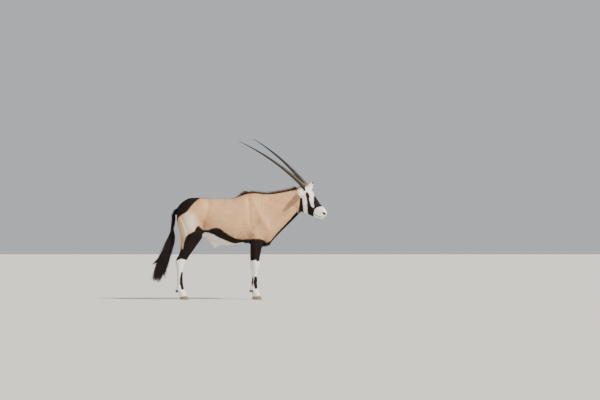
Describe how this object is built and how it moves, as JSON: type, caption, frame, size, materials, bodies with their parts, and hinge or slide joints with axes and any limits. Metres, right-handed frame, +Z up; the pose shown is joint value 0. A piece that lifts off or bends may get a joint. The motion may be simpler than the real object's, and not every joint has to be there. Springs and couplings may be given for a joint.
{
  "type": "antelope model",
  "caption": "Life-size gemsbok standing still, head turned slightly to its right, long straight horns laid back, tail hanging.",
  "frame": {"origin": "on the floor, under the centre of the whole model", "axes": "+X towards the head, +Y to the animal's left, +Z up"},
  "size_m": [1.9406, 0.5948, 1.7983],
  "materials": {
    "coat": "short dense hair, fawn grey",
    "head_coat": "short dense hair, white with black face marks",
    "leg_coat": "short dense hair, black above and white below",
    "long_hair": "long dark hair",
    "horn": "ridged dark horn",
    "hoof": "smooth horn",
    "eye": "wet gloss"
  },
  "bodies": {
    "root": {"dewclaw_fore_left_inner": "hoof", "dewclaw_fore_left_outer": "hoof", "dewclaw_fore_right_inner": "hoof", "dewclaw_fore_right_outer": "hoof", "dewclaw_hind_left_inner": "hoof", "dewclaw_hind_left_outer": "hoof", "dewclaw_hind_right_inner": "hoof", "dewclaw_hind_right_outer": "hoof", "ear_left": "coat", "ear_right": "coat", "eye_left": "eye", "eye_right": "eye", "head": "head_coat", "hoof_fore_left_inner": "hoof", "hoof_fore_left_outer": "hoof", "hoof_fore_right_inner": "hoof", "hoof_fore_right_outer": "hoof", "hoof_hind_left_inner": "hoof", "hoof_hind_left_outer": "hoof", "hoof_hind_right_inner": "hoof", "hoof_hind_right_outer": "hoof", "horn_left": "horn", "horn_right": "horn", "leg_fore_left": "leg_coat", "leg_fore_right": "leg_coat", "leg_hind_left": "leg_coat", "leg_hind_right": "leg_coat", "mane": "long_hair", "neck": "coat", "tail_dock": "long_hair", "tail_tuft": "long_hair", "torso": "coat"}
  },
  "joints": []
}
